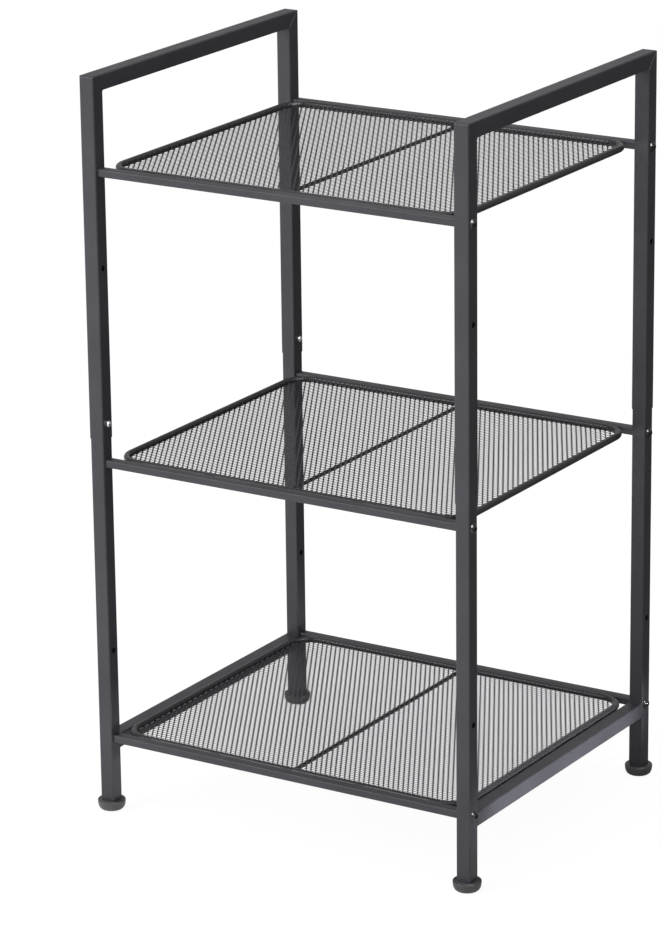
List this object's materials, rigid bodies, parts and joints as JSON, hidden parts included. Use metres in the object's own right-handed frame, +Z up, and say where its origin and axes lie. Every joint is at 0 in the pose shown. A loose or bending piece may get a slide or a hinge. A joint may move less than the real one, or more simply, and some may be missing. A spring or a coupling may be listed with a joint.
{
  "type": "bathroom shelf rack",
  "caption": "Free-standing metal shelf rack: square tube side frames with handle bars on top, mesh trays with round wire rims bolted between them, and flared foot caps.",
  "frame": {"origin": "on the floor, at the centre of the rack in plan", "axes": "+Z up, the open front towards -Y, the two handle bars at -X and +X"},
  "size_m": [0.4314, 0.3694, 0.736],
  "materials": {
    "powder_coat": "fine satin powder coat, near black with a slight blue cast",
    "tray_coat": "satin powder coat over round wire",
    "mesh_coat": "satin powder coat over expanded metal",
    "zinc_steel": "plain zinc plate",
    "bright_button": "bright nickel plate",
    "spring_steel": "bare spring steel",
    "foot_plastic": "moulded black plastic with a soft sheen",
    "black_bolt": "black plated, slightly glossy"
  },
  "bodies": {
    "rack": {"upper_post_front_left": "powder_coat", "upper_post_front_right": "powder_coat", "upper_post_back_left": "powder_coat", "upper_post_back_right": "powder_coat", "leg_front_left": "powder_coat", "leg_front_right": "powder_coat", "leg_back_left": "powder_coat", "leg_back_right": "powder_coat", "connector_front_left": "zinc_steel", "connector_front_right": "zinc_steel", "connector_back_left": "zinc_steel", "connector_back_right": "zinc_steel", "button_spring_front_left": "spring_steel", "button_spring_front_right": "spring_steel", "button_spring_back_left": "spring_steel", "button_spring_back_right": "spring_steel", "foot_front_left": "foot_plastic", "foot_front_right": "foot_plastic", "foot_back_left": "foot_plastic", "foot_back_right": "foot_plastic", "handle_bar_left": "powder_coat", "handle_bar_right": "powder_coat", "side_rail_left": "powder_coat", "side_rail_right": "powder_coat", "top_shelf_front_rail": "powder_coat", "top_shelf_back_rail": "powder_coat", "middle_shelf_front_rail": "powder_coat", "middle_shelf_back_rail": "powder_coat", "bottom_shelf_front_rail": "powder_coat", "bottom_shelf_back_rail": "powder_coat", "top_shelf_rim": "tray_coat", "top_shelf_mesh": "mesh_coat", "top_shelf_cross_wire": "tray_coat", "top_shelf_threaded_plugs": "zinc_steel", "top_shelf_bolts": "black_bolt", "middle_shelf_rim": "tray_coat", "middle_shelf_mesh": "mesh_coat", "middle_shelf_cross_wire": "tray_coat", "middle_shelf_threaded_plugs": "zinc_steel", "middle_shelf_bolts": "black_bolt", "bottom_shelf_rim": "tray_coat", "bottom_shelf_mesh": "mesh_coat", "bottom_shelf_cross_wire": "tray_coat", "bottom_shelf_threaded_plugs": "zinc_steel", "bottom_shelf_bolts": "black_bolt"},
    "snap_button_front_left": {"snap_button_front_left": "bright_button"},
    "snap_button_front_right": {"snap_button_front_right": "bright_button"},
    "snap_button_back_left": {"snap_button_back_left": "bright_button"},
    "snap_button_back_right": {"snap_button_back_right": "bright_button"}
  },
  "joints": [
    {"name": "press_front_left", "type": "slide", "parent": "rack", "child": "snap_button_front_left", "axis": [-1, 0, 0], "range_m": [0, 0.0045], "stiffness_N_per_m": 1200, "springref_m": -0.003, "deforming": ["button_spring_front_left"]},
    {"name": "press_front_right", "type": "slide", "parent": "rack", "child": "snap_button_front_right", "axis": [1, 0, 0], "range_m": [0, 0.0045], "stiffness_N_per_m": 1200, "springref_m": -0.003, "deforming": ["button_spring_front_right"]},
    {"name": "press_back_left", "type": "slide", "parent": "rack", "child": "snap_button_back_left", "axis": [-1, 0, 0], "range_m": [0, 0.0045], "stiffness_N_per_m": 1200, "springref_m": -0.003, "deforming": ["button_spring_back_left"]},
    {"name": "press_back_right", "type": "slide", "parent": "rack", "child": "snap_button_back_right", "axis": [1, 0, 0], "range_m": [0, 0.0045], "stiffness_N_per_m": 1200, "springref_m": -0.003, "deforming": ["button_spring_back_right"]}
  ]
}
